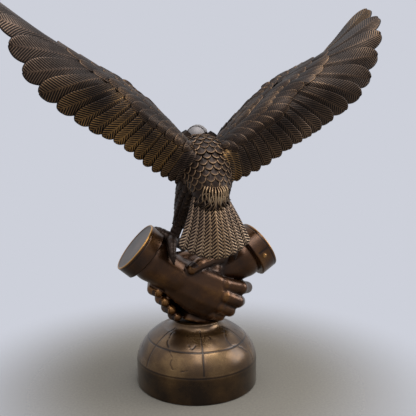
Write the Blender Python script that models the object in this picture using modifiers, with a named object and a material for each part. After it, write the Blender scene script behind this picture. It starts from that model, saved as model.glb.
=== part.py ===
"""Cast bronze eagle with raised wings, perched on two clasped hands over a half globe.

Metres, +Z up. The eagle faces +Y and its back is towards -Y. The origin is the centre of
the globe's underside. Three castings stand on one another: globe_base, clasped_hands, eagle.
"""
import math

import bmesh
import bpy
import numpy as np
from mathutils import Vector

# Driving sizes, in metres
BASE_RADIUS = 0.088
SKIRT_HEIGHT = 0.033
DOME_HEIGHT = 0.061
NECK_RADIUS = 0.035
NECK_FLARE = 0.014
BASE_EDGE = 0.0015
EQUATOR_RISE = 0.0065
EQUATOR_BAND = 0.0018
EQUATOR_RELIEF = 0.0006
HANDS_HEIGHT = 0.108
CUFF_RADIUS = 0.038
CUFF_LENGTH = 0.029
EAGLE_HEIGHT = 0.348
WING_THICKNESS = 0.0042
WING_ARM_THICKNESS = 0.0110
TAIL_THICKNESS = 0.0060
SEAT_MARGIN = 0.006
CASTING_GAP = 0.0004

# Each figure is posed in millimetres at its own full size, then scaled to its height above
HANDS_POSED = 108.0
EAGLE_POSED = 348.0
HANDS_SCALE = HANDS_HEIGHT / HANDS_POSED
EAGLE_SCALE = EAGLE_HEIGHT / EAGLE_POSED
GLOBE_TOP_Z = SKIRT_HEIGHT + DOME_HEIGHT
SEAT_Z = GLOBE_TOP_Z + CASTING_GAP
PERCH_Z = SEAT_Z + HANDS_HEIGHT

# How finely the surfaces are cut
GLOBE_STEPS = 36
NECK_STEPS = 3
DOME_STEPS = 8
CUFF_SIDES = 40
LIMB_SIDES = 20
LIMB_RINGS = 12
HAND_VOXEL = 0.0016
HAND_SMOOTHING = 4
HAND_TRIANGLES = 1700
BODY_VOXEL = 0.0013
BODY_SMOOTHING = 1
BODY_TRIANGLES = 1900
SMOOTH_FACTOR = 0.5


def hands_place(point):
    """A point posed in millimetres above the globe's neck, in metres."""
    return Vector((point[0], point[1], point[2])) * HANDS_SCALE + Vector((0, 0, SEAT_Z))


def eagle_place(point):
    """A point posed in millimetres above the perch, in metres."""
    return Vector((point[0], point[1], point[2])) * EAGLE_SCALE + Vector((0, 0, PERCH_Z))


def curve_through(points, t):
    """Catmull-Rom curve through the points; t counts the points from 0."""
    p = np.asarray(points, dtype=float)
    last = len(p) - 1
    t = np.asarray(t, dtype=float)
    i = np.clip(np.floor(t).astype(int), 0, last - 1)
    f = (t - i)[..., None]
    before = np.where((i > 0)[..., None], p[np.maximum(i - 1, 0)], 2 * p[i] - p[i + 1])
    after = np.where((i < last - 1)[..., None], p[np.minimum(i + 2, last)], 2 * p[i + 1] - p[i])
    slope_a = (p[i + 1] - before) / 2
    slope_b = (after - p[i]) / 2
    return ((2 * f**3 - 3 * f**2 + 1) * p[i] + (f**3 - 2 * f**2 + f) * slope_a
            + (3 * f**2 - 2 * f**3) * p[i + 1] + (f**3 - f**2) * slope_b)


def clear_scene():
    for obj in list(bpy.data.objects):
        bpy.data.objects.remove(obj, do_unlink=True)


def new_collection(name):
    collection = bpy.data.collections.new(name)
    bpy.context.scene.collection.children.link(collection)
    return collection


def bronze(name, colour, roughness):
    material = bpy.data.materials.new(name)
    material.use_nodes = True
    shader = material.node_tree.nodes["Principled BSDF"]
    shader.inputs["Base Color"].default_value = (*colour, 1.0)
    shader.inputs["Metallic"].default_value = 0.9
    shader.inputs["Roughness"].default_value = roughness
    return material


def object_from(name, mesh, collection, material=None):
    obj = bpy.data.objects.new(name, mesh)
    collection.objects.link(obj)
    if material:
        mesh.materials.clear()
        mesh.materials.append(material)
    return obj


def evaluated_mesh(obj):
    """The object's mesh with its modifiers worked in, for a further join or cut."""
    graph = bpy.context.evaluated_depsgraph_get()
    return bpy.data.meshes.new_from_object(obj.evaluated_get(graph), depsgraph=graph)


def add_limb(bm, nodes, place, scale):
    """A limb of round bones: a ball at each (x, y, z, radius) and a tapered bone to the next."""
    balls = [(place(node[:3]), node[3] * scale) for node in nodes]
    for centre, radius in balls:
        made = bmesh.ops.create_uvsphere(bm, u_segments=LIMB_SIDES, v_segments=LIMB_RINGS, radius=radius)
        bmesh.ops.translate(bm, verts=made["verts"], vec=centre)
    for (start, start_radius), (end, end_radius) in zip(balls, balls[1:]):
        add_bone(bm, start, end, start_radius, end_radius, LIMB_SIDES)


def add_bone(bm, start, end, start_radius, end_radius, sides):
    """A straight tapered cylinder with flat ends between two points."""
    axis = end - start
    made = bmesh.ops.create_cone(bm, cap_ends=True, segments=sides, radius1=start_radius,
                                 radius2=end_radius, depth=axis.length)
    turn = axis.to_track_quat("Z", "Y").to_matrix()
    bmesh.ops.rotate(bm, verts=made["verts"], cent=(0, 0, 0), matrix=turn)
    bmesh.ops.translate(bm, verts=made["verts"], vec=(start + end) / 2)


def object_of(name, bm, collection):
    """A new object that takes what was made in bm."""
    mesh = bpy.data.meshes.new(name)
    bm.to_mesh(mesh)
    bm.free()
    return object_from(name, mesh, collection)


def fused(name, bm, voxel, smoothing, triangles, collection):
    """One closed skin around overlapping solids, brought to about so many triangles."""
    obj = object_of(name, bm, collection)
    skin = obj.modifiers.new("Skin", "REMESH")
    skin.mode = "VOXEL"
    skin.voxel_size = voxel
    soften = obj.modifiers.new("Soften", "SMOOTH")
    soften.factor = SMOOTH_FACTOR
    soften.iterations = smoothing
    dense = evaluated_mesh(obj)
    thin = obj.modifiers.new("Thin", "DECIMATE")
    thin.ratio = min(1.0, triangles / (2.0 * len(dense.polygons)))
    bpy.data.meshes.remove(dense)
    result = evaluated_mesh(obj)
    bpy.data.objects.remove(obj)
    return result


def boolean(obj, other, operation):
    modifier = obj.modifiers.new(operation.title() + " " + other.name, "BOOLEAN")
    modifier.operation = operation
    modifier.solver = "EXACT"
    modifier.object = other


def as_cutter(obj):
    obj.hide_render = True
    obj.display_type = "WIRE"


def loft(name, rings, collection):
    """A closed loft: rings is an array (rings, points, xyz), each ring a closed outline."""
    count, size, _ = rings.shape
    vertices = rings.reshape(-1, 3).tolist()
    faces = []
    for i in range(count - 1):
        for j in range(size):
            k = (j + 1) % size
            faces.append((i * size + j, i * size + k, (i + 1) * size + k, (i + 1) * size + j))
    faces.append(tuple(range(size))[::-1])
    faces.append(tuple((count - 1) * size + j for j in range(size)))
    mesh = bpy.data.meshes.new(name)
    mesh.from_pydata(vertices, [], faces)
    bm = bmesh.new()
    bm.from_mesh(mesh)
    bmesh.ops.triangulate(bm, faces=bm.faces)
    bmesh.ops.recalc_face_normals(bm, faces=bm.faces)
    bm.to_mesh(mesh)
    bm.free()
    return object_from(name, mesh, collection)


def dome_point(turn):
    """A point of the dome's quarter ellipse: turn runs from 0 at its crown to 90 degrees."""
    return (BASE_RADIUS * math.sin(turn), SKIRT_HEIGHT + DOME_HEIGHT * math.cos(turn))


def globe_profile():
    """Half section of the base, from the neck's top down its outer side to the underside."""
    points = [(0.0, GLOBE_TOP_Z), (NECK_RADIUS, GLOBE_TOP_Z)]
    foot_turn = math.asin((NECK_RADIUS + NECK_FLARE) / BASE_RADIUS)
    foot_radius, foot_z = dome_point(foot_turn)
    for step in range(1, NECK_STEPS + 1):
        turn = step / NECK_STEPS * math.pi / 2
        points.append((foot_radius - NECK_FLARE * math.cos(turn),
                       GLOBE_TOP_Z - (GLOBE_TOP_Z - foot_z) * math.sin(turn)))
    band_turn = math.acos(EQUATOR_RISE / DOME_HEIGHT)
    for step in range(1, DOME_STEPS):
        points.append(dome_point(foot_turn + (band_turn - foot_turn) * step / DOME_STEPS))
    band_radius, band_z = dome_point(band_turn)
    points.append((band_radius, band_z + EQUATOR_BAND / 2))
    points.append((band_radius + EQUATOR_RELIEF, band_z))
    points.append((BASE_RADIUS, band_z - EQUATOR_BAND / 2))
    points.append((BASE_RADIUS, BASE_EDGE))
    points.append((BASE_RADIUS - BASE_EDGE, 0.0))
    points.append((0.0, 0.0))
    return points


def build_globe(collection, material):
    points = globe_profile()
    mesh = bpy.data.meshes.new("globe_base")
    edges = [(i, i + 1) for i in range(len(points) - 1)]
    mesh.from_pydata([(r, 0.0, z) for r, z in points], edges, [])
    globe = object_from("globe_base", mesh, collection, material)
    turned = globe.modifiers.new("Turned", "SCREW")
    turned.steps = GLOBE_STEPS
    turned.render_steps = GLOBE_STEPS
    turned.use_merge_vertices = True
    turned.merge_threshold = 0.00005
    return globe


SEAT_CUT_SIZE = 0.4

# Clasped hands, in millimetres above the globe's neck: x right, y away, z up, then radius
NEAR_WRIST = [(-64, -6, 91, 30.5), (-52, -9, 81, 28), (-36, -12, 70, 26)]
FAR_WRIST = [(74, 7, 84, 31), (56, 8, 74, 28), (40, 10, 66, 26)]
NEAR_BACK = [
    [(-38, -16, 82, 14), (2, -22, 68, 13), (34, -25, 54, 11)],
    [(-40, -20, 72, 14), (0, -27, 54, 13), (32, -29, 38, 11.5)],
    [(-41, -19, 62, 14), (-6, -26, 40, 13), (24, -28, 24, 11.5)],
    [(-41, -14, 54, 14), (-14, -20, 28, 13), (12, -24, 13, 11)],
]
NEAR_FINGERS = [
    [(34, -25, 54, 10.5), (60, -23, 46, 9.8), (75, -8, 41, 9.0), (66, 14, 40, 8.2)],
    [(32, -29, 38, 10.5), (54, -25, 27, 9.6), (64, -8, 21, 8.8), (56, 14, 22, 8.2)],
    [(24, -28, 24, 10), (42, -24, 14, 8.8), (48, -8, 10, 8.2), (42, 12, 12, 7.8)],
    [(12, -24, 13, 9.5), (28, -20, 6, 7.8), (33, -6, 5, 7.2), (28, 10, 7, 7.0)],
]
NEAR_THUMB = [(-32, 0, 86, 15), (0, 8, 88, 12.5), (28, 18, 80, 10.5), (46, 24, 68, 8.5)]
FAR_THUMB = [(40, 0, 88, 13), (16, -12, 89, 10.5), (-4, -25, 87, 9.2), (-17, -32, 82, 7.6)]
WEB = [(-14, 2, 74, 22), (18, 0, 72, 22), (14, 0, 48, 27), (-6, 0, 46, 26), (0, 0, 26, 21),
       (4, 0, 14, 19)]
FOOT_TOP = (2, 0, 14)
FOOT_TOP_RADIUS = 23
FAR_TIPS = [
    [(-30, 26, 66, 10), (-60, 14, 54, 9.6), (-66, -4, 50, 8.6), (-61, -13, 48, 7.6)],
    [(-24, 26, 50, 10), (-50, 14, 38, 9.6), (-55, -3, 35, 8.6), (-51, -12, 33, 7.6)],
    [(-18, 24, 34, 10), (-40, 14, 25, 9.0), (-46, -2, 21, 8.4), (-42, -12, 20, 7.4)],
    [(-10, 20, 20, 9.5), (-30, 12, 12, 8.4), (-37, -2, 9, 7.8), (-33, -11, 8, 6.8)],
]
NEAR_CUFF = ((-69, -5, 95), (-91, -3, 113.5))
FAR_CUFF = ((78, 7, 86), (101, 10, 100.5))


def far_side(nodes):
    """The other person's hand: the same bones turned half a turn about the upright axis."""
    return [(-x, -y, z, r) for x, y, z, r in nodes]


def build_cuff(name, ends, cutters):
    """A short plain shirt cuff, a cylinder from the wrist outward."""
    inner = hands_place(ends[0])
    outward = (hands_place(ends[1]) - inner).normalized()
    bm = bmesh.new()
    add_bone(bm, inner, inner + outward * CUFF_LENGTH, CUFF_RADIUS, CUFF_RADIUS, CUFF_SIDES)
    cuff = object_of(name, bm, cutters)
    as_cutter(cuff)
    return cuff


def build_seat_cut(cutters):
    """A slab whose top is where the hands' flat underside rests on the globe's neck."""
    bm = bmesh.new()
    bmesh.ops.create_cube(bm, size=SEAT_CUT_SIZE)
    bmesh.ops.translate(bm, verts=bm.verts, vec=(0, 0, SEAT_Z - SEAT_CUT_SIZE / 2))
    slab = object_of("seat_cut", bm, cutters)
    as_cutter(slab)
    return slab


def build_hands(collection, cutters, material):
    bm = bmesh.new()
    limbs = [NEAR_WRIST, FAR_WRIST, NEAR_THUMB, FAR_THUMB, WEB] + NEAR_BACK + NEAR_FINGERS + FAR_TIPS
    limbs += [far_side(nodes) for nodes in NEAR_BACK]
    for nodes in limbs:
        add_limb(bm, nodes, hands_place, HANDS_SCALE)
    foot = Vector((0, 0, GLOBE_TOP_Z - SEAT_MARGIN))
    add_bone(bm, hands_place(FOOT_TOP), foot, FOOT_TOP_RADIUS * HANDS_SCALE,
             NECK_RADIUS - SEAT_MARGIN, LIMB_SIDES)
    mesh = fused("hand_skin", bm, HAND_VOXEL, HAND_SMOOTHING, HAND_TRIANGLES, cutters)
    hands = object_from("clasped_hands", mesh, collection, material)
    boolean(hands, build_cuff("near_cuff", NEAR_CUFF, cutters), "UNION")
    boolean(hands, build_cuff("far_cuff", FAR_CUFF, cutters), "UNION")
    boolean(hands, build_seat_cut(cutters), "DIFFERENCE")
    return hands


# Eagle, in millimetres above the perch (the tops of the wrists)
TORSO = [(0, -64, 78, 21), (0, -58, 94, 27), (0, -43, 110, 34), (0, -30, 120, 37),
         (0, -10, 126, 33), (0, 8, 130, 24), (5, 22, 139, 18.5)]
HEAD = [(11, 34, 156, 14.5), (16, 44, 157, 14), (20, 54, 154, 12)]
BEAK = [(24, 61, 153, 8.0), (27, 69, 151, 7.2), (30, 76, 145, 4.8), (30.5, 78, 137, 1.8)]
LOWER_BEAK = [(23, 58, 147, 7.0), (26, 68, 144, 4.0), (27, 71, 143, 2.4)]
BROWS = [[(6, 50, 163, 2.6), (11.5, 57, 162, 3.2), (18, 61, 159, 2.4)],
         [(27, 43, 164, 2.6), (29.5, 51, 162, 3.2), (29, 58, 159, 2.4)]]
LEG = [(19, -40, 98, 18), (22, -28, 76, 15), (25, -16, 54, 10.5), (29, -9, 34, 7.2),
       (35, -6, 18, 7.6), (38, -5, 11, 9.5)]
TOES = [
    [(38, -5, 11, 9.0), (39, 10, 13, 7.6), (41, 24, 7, 6.6), (42, 31, -5, 4.8), (42, 32, -15, 1.6)],
    [(38, -5, 11, 9.0), (50, -2, 20, 7.4), (59, 4, 24, 6.4), (66, 10, 20, 4.8), (69, 14, 12, 1.6)],
    [(38, -5, 11, 9.0), (27, 6, 5, 7.4), (18, 17, -2, 6.2), (13, 25, -10, 4.6), (12, 28, -18, 1.6)],
    [(38, -5, 11, 9.0), (42, -20, 12, 7.6), (45, -31, 4, 6.4), (45, -38, -7, 4.6), (44, -39, -16, 1.6)],
]

# Wing, by feather: the number of a feather, where it leaves the arm and where it ends
WING_KNOTS = [-2.0, 0.0, 3.0, 6.0, 9.0, 12.0, 15.0, 17.0]
WING_ROOTS = [(10, -24, 130), (28, -24, 149), (54, -18, 178), (75, -16, 198), (92, -15, 211),
              (112, -14, 227), (147, -11, 248), (172, -6, 262)]
WING_TIPS = [(24, -31, 84), (41, -33, 94), (79, -48, 114), (119, -67, 145), (161, -71, 171),
             (216, -84, 222), (252, -60, 308), (272, 22, 349)]
ARM_RADII = (14, 12, 9.5, 8, 7.2, 6.6, 6, 5)
FIRST_FEATHER = -2
WING_FEATHERS = 17
HAND_FEATHER = 11
WING_BULGE_BACK = (34.0, 7.0)
WING_BULGE_UP = (13.0, -7.0)
LEFT_WING_RISE = 3.0
LEFT_WING_SPREAD = (9.0, 0.0, -5.0)
SPREAD_FEATHERS = (7.0, 13.0)
FEATHER_COLUMNS = (0.02, 0.3, 0.7, 0.98)
FEATHER_STEP = 1.5
FEATHER_CROWN = 0.35
TIP_SCALLOP = 0.075
TIP_ROUNDING = 2.2
TIP_BEVEL = 0.03
# Rows of coverts: how far down the feather each row reaches, its scallop and its sideways shift
COVERT_ROWS = ((0.15, 0.055, 0.0), (0.29, 0.06, 0.5), (0.45, 0.07, 0.0))
COVERT_LIP = 0.012

TAIL_FEATHERS = 10
TAIL_ROOT_WIDTH = 24.0
TAIL_TIP_WIDTH = 50.0
TAIL_ROOT = (-70, 80)
TAIL_TIP = (-91, 1)
TAIL_ROOT_CURL = (12, 0)
TAIL_TIP_CURL = (10, 18)
TAIL_BELLY = -5.0
TAIL_STEP = 2.2
TAIL_SCALLOP = 0.10
TAIL_START = -0.12

SCALE_ROWS = 9
SCALE_WIDTH = 13.5
SCALE_HALF = (7.4, 9.7, 2.1)
SCALE_TOP = 4.2
SCALE_ROW_STEP = 0.42
SCALE_TILT = 0.17
RUMP_LOCKS = 9


def ends_of(t):
    """0 in the middle of a feather's width and 1 at both its edges, for t from 0 to 1."""
    return abs(2 * t - 1)


def wing_surface(u, v):
    """Mid surface of the right wing: u counts feathers outward, v runs from arm to tip."""
    knots = np.interp(u, WING_KNOTS, np.arange(len(WING_KNOTS)))
    root = curve_through(WING_ROOTS, knots)
    tip = curve_through(WING_TIPS, knots)
    belly = np.sin(np.pi * np.clip(v, 0, 1) ** 0.75)
    hand = [HAND_FEATHER, WING_FEATHERS]
    back = -np.interp(u, hand, WING_BULGE_BACK) * belly
    up = np.interp(u, hand, WING_BULGE_UP) * belly
    return root + (tip - root) * v[..., None] + np.stack([0 * u, back, up], axis=-1)


def left_wing_surface(u, v):
    """The right wing's mirror image, its tips raised and its outer feathers spread wider."""
    spread = np.interp(u, SPREAD_FEATHERS, [0.0, 1.0])[..., None] * np.array(LEFT_WING_SPREAD)
    points = wing_surface(u, v) + v[..., None] * (spread + np.array([0.0, 0.0, LEFT_WING_RISE]))
    return points * np.array([-1.0, 1.0, 1.0])


def surface_normal(surface, u, v, towards):
    """Unit normal of a two-parameter surface, on the side of the given direction."""
    along = surface(u + 0.05, v) - surface(u - 0.05, v)
    across = surface(u, v + 0.01) - surface(u, v - 0.01)
    normal = np.cross(along, across)
    normal /= np.linalg.norm(normal, axis=-1, keepdims=True)
    sign = np.sign(normal @ np.array(towards))[..., None]
    return normal * np.where(sign == 0, 1, sign)


def wing_section(feather, part):
    """One chord as (u, v, height): the back's shingled rows of feathers, then the underside."""
    u = feather + part
    lift = part + FEATHER_CROWN * (1 - ends_of(part))
    end = 1.0 - TIP_SCALLOP * ends_of(part) ** TIP_ROUNDING
    rows = len(COVERT_ROWS)
    chord = [(u, 0.0, rows * FEATHER_STEP)]
    for row, (reach, scallop, shift) in enumerate(COVERT_ROWS):
        phase = (part + shift) % 1.0
        edge = reach + scallop * (1 - ends_of(phase) ** 2)
        chord.append((u, edge - COVERT_LIP, (rows - row + 0.5 * phase) * FEATHER_STEP))
        chord.append((u, edge, (rows - 1 - row + 0.5 * part) * FEATHER_STEP))
    chord.append((u, 0.5 * (edge + end), lift * FEATHER_STEP))
    chord.append((u, end - TIP_BEVEL, lift * FEATHER_STEP))
    for v in (end, 0.4, 0.06):
        depth = WING_THICKNESS + (WING_ARM_THICKNESS - WING_THICKNESS) * (1 - v) ** 3
        chord.append((u, v, -depth / EAGLE_SCALE))
    return chord


def build_wing(name, surface, cutters):
    """A wing as a loft of chords over its mid surface."""
    feathers = range(FIRST_FEATHER, WING_FEATHERS)
    grid = np.array([wing_section(feather, part) for feather in feathers for part in FEATHER_COLUMNS])
    u, v, height = grid[..., 0], grid[..., 1], grid[..., 2:]
    points = surface(u, v) + surface_normal(surface, u, v, (0.0, -1.0, 0.35)) * height
    wing = loft(name, points * EAGLE_SCALE + np.array([0, 0, PERCH_Z]), cutters)
    as_cutter(wing)
    return wing


def tail_surface(u, v):
    """Mid surface of the tail fan: u from -1 to 1 across, v from the rump to the tips."""
    root_y, root_z = (place + curl * u**2 for place, curl in zip(TAIL_ROOT, TAIL_ROOT_CURL))
    tip_y, tip_z = (place + curl * u**2 for place, curl in zip(TAIL_TIP, TAIL_TIP_CURL))
    root = np.stack([TAIL_ROOT_WIDTH * u, root_y, root_z], axis=-1)
    tip = np.stack([TAIL_TIP_WIDTH * u, tip_y, tip_z], axis=-1)
    belly = np.stack([0 * u, TAIL_BELLY * np.sin(np.pi * v), 0 * u], axis=-1)
    return root + (tip - root) * v[..., None] + belly


def tail_section(feather, part):
    """One strip of the fan as (u, v, height): feathers overlap towards the middle one."""
    half = TAIL_FEATHERS // 2
    u = (feather + part) / half - 1.0
    inward = part if feather < half else 1.0 - part
    lift = TAIL_STEP * (inward + FEATHER_CROWN * (1 - ends_of(part)))
    end = 1.0 - TAIL_SCALLOP * ends_of(part) ** TIP_ROUNDING
    under = -TAIL_THICKNESS / EAGLE_SCALE
    top = [(u, v, lift) for v in (TAIL_START, 0.45, end - TIP_BEVEL)]
    return top + [(u, v, under) for v in (end, 0.5, TAIL_START)]


def build_tail(cutters):
    feathers = range(TAIL_FEATHERS)
    grid = np.array([tail_section(feather, part) for feather in feathers for part in FEATHER_COLUMNS])
    u, v, height = grid[..., 0], grid[..., 1], grid[..., 2:]
    points = tail_surface(u, v) + surface_normal(tail_surface, u, v, (0.0, -1.0, 0.0)) * height
    tail = loft("tail", points * EAGLE_SCALE + np.array([0, 0, PERCH_Z]), cutters)
    as_cutter(tail)
    return tail


def add_scale(bm, spot, along, outward):
    """One scale feather: a flat rounded lens that lies back along the body, its tip raised."""
    lengthways = (along + outward * SCALE_TILT).normalized()
    sideways = lengthways.cross(outward).normalized()
    upwards = sideways.cross(lengthways).normalized()
    half_width, half_length, half_height = SCALE_HALF
    made = bmesh.ops.create_uvsphere(bm, u_segments=12, v_segments=6, radius=1.0)
    for vert in made["verts"]:
        x, y, z = vert.co
        local = sideways * (x * half_width) + lengthways * (y * half_length) + upwards * (z * half_height)
        vert.co = eagle_place(spot + local)


def add_back_scales(bm):
    """Rows of scale feathers laid over the back from the neck down, each row shifted by half."""
    nodes = np.array(TORSO)
    side = Vector((1, 0, 0))
    for row in range(SCALE_ROWS):
        t = SCALE_TOP - row * SCALE_ROW_STEP
        here, ahead = curve_through(nodes, np.array([t, t - 0.05]))
        centre = Vector(here[:3])
        along = (Vector(ahead[:3]) - centre).normalized()
        outward = along.cross(side)
        radius = here[3]
        count = 7 - row % 2
        for k in range(count):
            turn = (k - (count - 1) / 2) * SCALE_WIDTH / radius
            direction = outward * math.cos(turn) + side * math.sin(turn)
            if direction.dot(outward) > 0.1:
                add_scale(bm, centre + direction * radius, along, direction)


def add_rump_locks(bm):
    """Narrow locks of plumage that run from the back over the root of the tail."""
    half = (RUMP_LOCKS - 1) / 2
    for lock in range(RUMP_LOCKS):
        s = lock / half - 1.0
        nodes = [(13 * s, -88 + 7 * s**2, 94 - 3 * s**2, 2.4),
                 (17 * s, -90 + 8 * s**2, 82 - 2 * s**2, 3.0),
                 (23 * s, -89 + 9 * s**2, 69 + 3 * s**2, 1.6)]
        add_limb(bm, nodes, eagle_place, EAGLE_SCALE)


def build_perch_cut(hands, cutters):
    """The hands grown by the casting gap, which the talons and toes are cut to fit."""
    grown = object_from("perch_cut", evaluated_mesh(hands), cutters)
    clearance = grown.modifiers.new("Clearance", "DISPLACE")
    clearance.strength = CASTING_GAP
    clearance.mid_level = 0.0
    as_cutter(grown)
    return grown


def build_eagle(collection, cutters, material, hands):
    bm = bmesh.new()
    for nodes in [TORSO, HEAD, BEAK, LOWER_BEAK] + BROWS:
        add_limb(bm, nodes, eagle_place, EAGLE_SCALE)
    arm = [(x, y + 3, z - 4, r) for (x, y, z), r in zip(WING_ROOTS, ARM_RADII)]
    for side in (-1, 1):
        for nodes in [LEG, arm] + TOES:
            add_limb(bm, [(side * x, y, z, r) for x, y, z, r in nodes], eagle_place, EAGLE_SCALE)
    add_back_scales(bm)
    add_rump_locks(bm)
    mesh = fused("eagle_skin", bm, BODY_VOXEL, BODY_SMOOTHING, BODY_TRIANGLES, cutters)
    eagle = object_from("eagle", mesh, collection, material)
    boolean(eagle, build_wing("left_wing", left_wing_surface, cutters), "UNION")
    boolean(eagle, build_wing("right_wing", wing_surface, cutters), "UNION")
    boolean(eagle, build_tail(cutters), "UNION")
    boolean(eagle, build_perch_cut(hands, cutters), "DIFFERENCE")
    return eagle


def main():
    clear_scene()
    parts = new_collection("copper_eagle_statue")
    cutters = new_collection("cutters")
    build_globe(parts, bronze("globe_bronze", (0.090, 0.055, 0.038), 0.38))
    hands = build_hands(parts, cutters, bronze("hand_bronze", (0.085, 0.048, 0.030), 0.32))
    build_eagle(parts, cutters, bronze("eagle_bronze", (0.065, 0.050, 0.040), 0.45), hands)


main()
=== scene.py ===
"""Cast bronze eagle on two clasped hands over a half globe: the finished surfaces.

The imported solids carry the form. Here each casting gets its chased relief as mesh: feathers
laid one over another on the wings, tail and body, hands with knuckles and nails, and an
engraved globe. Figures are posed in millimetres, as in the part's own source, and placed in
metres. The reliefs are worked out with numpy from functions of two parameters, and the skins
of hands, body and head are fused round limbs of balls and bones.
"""
import math

import bmesh
import bpy
import numpy as np
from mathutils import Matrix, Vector


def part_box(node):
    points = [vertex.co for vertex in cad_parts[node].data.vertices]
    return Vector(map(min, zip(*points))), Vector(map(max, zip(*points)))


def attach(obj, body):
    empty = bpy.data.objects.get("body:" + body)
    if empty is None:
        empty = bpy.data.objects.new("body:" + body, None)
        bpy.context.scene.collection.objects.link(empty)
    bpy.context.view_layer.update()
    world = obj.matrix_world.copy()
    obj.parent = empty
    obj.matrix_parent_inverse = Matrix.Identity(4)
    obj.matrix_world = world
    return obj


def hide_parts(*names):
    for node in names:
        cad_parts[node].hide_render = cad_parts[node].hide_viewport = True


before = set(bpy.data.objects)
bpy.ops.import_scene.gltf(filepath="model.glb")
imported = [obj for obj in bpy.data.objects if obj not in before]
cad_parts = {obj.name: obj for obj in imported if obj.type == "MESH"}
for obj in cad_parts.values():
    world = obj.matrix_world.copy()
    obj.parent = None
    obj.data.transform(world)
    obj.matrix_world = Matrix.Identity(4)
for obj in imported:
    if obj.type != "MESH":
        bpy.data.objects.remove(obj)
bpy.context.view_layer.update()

MM = 0.001
# How high the perch lies over the underside of the hands, in metres
HANDS_HEIGHT = 0.108
SEAT_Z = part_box("clasped_hands")[0][2]
PERCH_Z = SEAT_Z + HANDS_HEIGHT


# Formulas

def curve_through(points, t):
    """Catmull-Rom curve through the points, straight beyond its ends; t counts them from 0."""
    p = np.asarray(points, dtype=float)
    last = len(p) - 1
    t = np.asarray(t, dtype=float)
    inside = np.clip(t, 0, last)
    i = np.clip(np.floor(inside).astype(int), 0, last - 1)
    f = (inside - i)[..., None]
    before = np.where((i > 0)[..., None], p[np.maximum(i - 1, 0)], 2 * p[i] - p[i + 1])
    after = np.where((i < last - 1)[..., None], p[np.minimum(i + 2, last)], 2 * p[i + 1] - p[i])
    slope_a = (p[i + 1] - before) / 2
    slope_b = (after - p[i]) / 2
    return ((2 * f**3 - 3 * f**2 + 1) * p[i] + (f**3 - 2 * f**2 + f) * slope_a
            + (3 * f**2 - 2 * f**3) * p[i + 1] + (f**3 - f**2) * slope_b
            + (t - inside)[..., None] * (p[i + 1] - p[i]))


def rise(x, low, high):
    """0 below low, 1 above high and a smooth S between them."""
    t = np.clip((x - low) / (high - low), 0.0, 1.0)
    return t * t * (3 - 2 * t)


def hump(x, width):
    """A bell curve, 1 at x = 0, that falls to about a third at x = width."""
    return np.exp(-(x / width) ** 2)


def unit(vectors):
    return vectors / np.maximum(np.linalg.norm(vectors, axis=-1, keepdims=True), 1e-12)


def around(side, up, turn):
    """Directions at a turn from side towards up."""
    return side * np.cos(turn)[..., None] + up * np.sin(turn)[..., None]


def arc_lengths(points):
    """Distance along a row of points, from the first."""
    return np.concatenate([[0.0], np.cumsum(np.linalg.norm(np.diff(points, axis=0), axis=1))])


def resampled(outline, start, end, counts):
    """Columns of an outline's two coordinates, with few points before start and after end."""
    reach = arc_lengths(outline)
    stops = [np.linspace(*ends, count) for ends, count in
             zip(((0.0, start), (start, end), (end, reach[-1])), counts)]
    even = np.concatenate([stops[0][:-1], stops[1], stops[2][1:]])
    return [np.interp(even, reach, outline[:, k])[:, None] for k in range(2)]


def from_table(table, x):
    """The value at x in a table of places and values, on a straight line between two of them."""
    return float(np.interp(x, *table))


def turn_from(turn, degrees):
    """The turn from an angle given in degrees, between -pi and pi."""
    return np.angle(np.exp(1j * (turn - math.radians(degrees))))


class Ground:
    """A surface of two parameters to lay relief on, and the side of it that is outside.

    place(u, v) gives millimetres. The normal is the cross product of the two tangents, turned
    away from the point inside as seen from the place probe.
    """

    def __init__(self, place, probe, inside):
        self.place = place
        self.side = 1.0
        u, v = (np.array([value], dtype=float) for value in probe)
        outward = place(u, v)[0] - np.array(inside)
        if np.dot(self.normal(u, v)[0], outward) < 0:
            self.side = -1.0

    def tangents(self, u, v):
        """Millimetres for each unit of u and of v, by central differences."""
        along_u = (self.place(u + 0.02, v) - self.place(u - 0.02, v)) / 0.04
        along_v = (self.place(u, v + 0.01) - self.place(u, v - 0.01)) / 0.02
        return along_u, along_v

    def tangents_at(self, u, v):
        return [t[0] for t in self.tangents(np.array([u]), np.array([v]))]

    def normal(self, u, v):
        along_u, along_v = self.tangents(u, v)
        return self.side * unit(np.cross(along_u, along_v))

    def raised(self, u, v, height):
        """Points at a height over the surface."""
        return self.place(u, v) + self.normal(u, v) * height[..., None]

    def step_across(self, u, v, heading):
        """The step (du, dv) of one millimetre square to a heading, towards greater u."""
        along_u, along_v = self.tangents_at(u, v)
        ahead = heading[0] * along_u + heading[1] * along_v
        du, dv = -np.dot(along_v, ahead), np.dot(along_u, ahead)
        if du < 0:
            du, dv = -du, -dv
        return np.array([du, dv]) / np.linalg.norm(du * along_u + dv * along_v)

    def heading_to(self, u, v, direction):
        """The heading (du, dv) whose course lies nearest to a direction in space."""
        tangents = np.stack(self.tangents_at(u, v))
        return np.linalg.solve(tangents @ tangents.T, tangents @ np.array(direction))

    def step_along(self, u, v, heading):
        """The step (du, dv) of one millimetre along a heading."""
        along_u, along_v = self.tangents_at(u, v)
        return np.array(heading) / np.linalg.norm(heading[0] * along_u + heading[1] * along_v)

    def even_stations(self, u, start, end, spacing):
        """Values of v from start to end whose points on one line are spacing apart."""
        v = np.linspace(start, end, 300)
        reach = arc_lengths(self.place(u + 0 * v, v))
        return np.interp(np.arange(0.0, reach[-1], spacing), reach, v)


# Meshes

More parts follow.
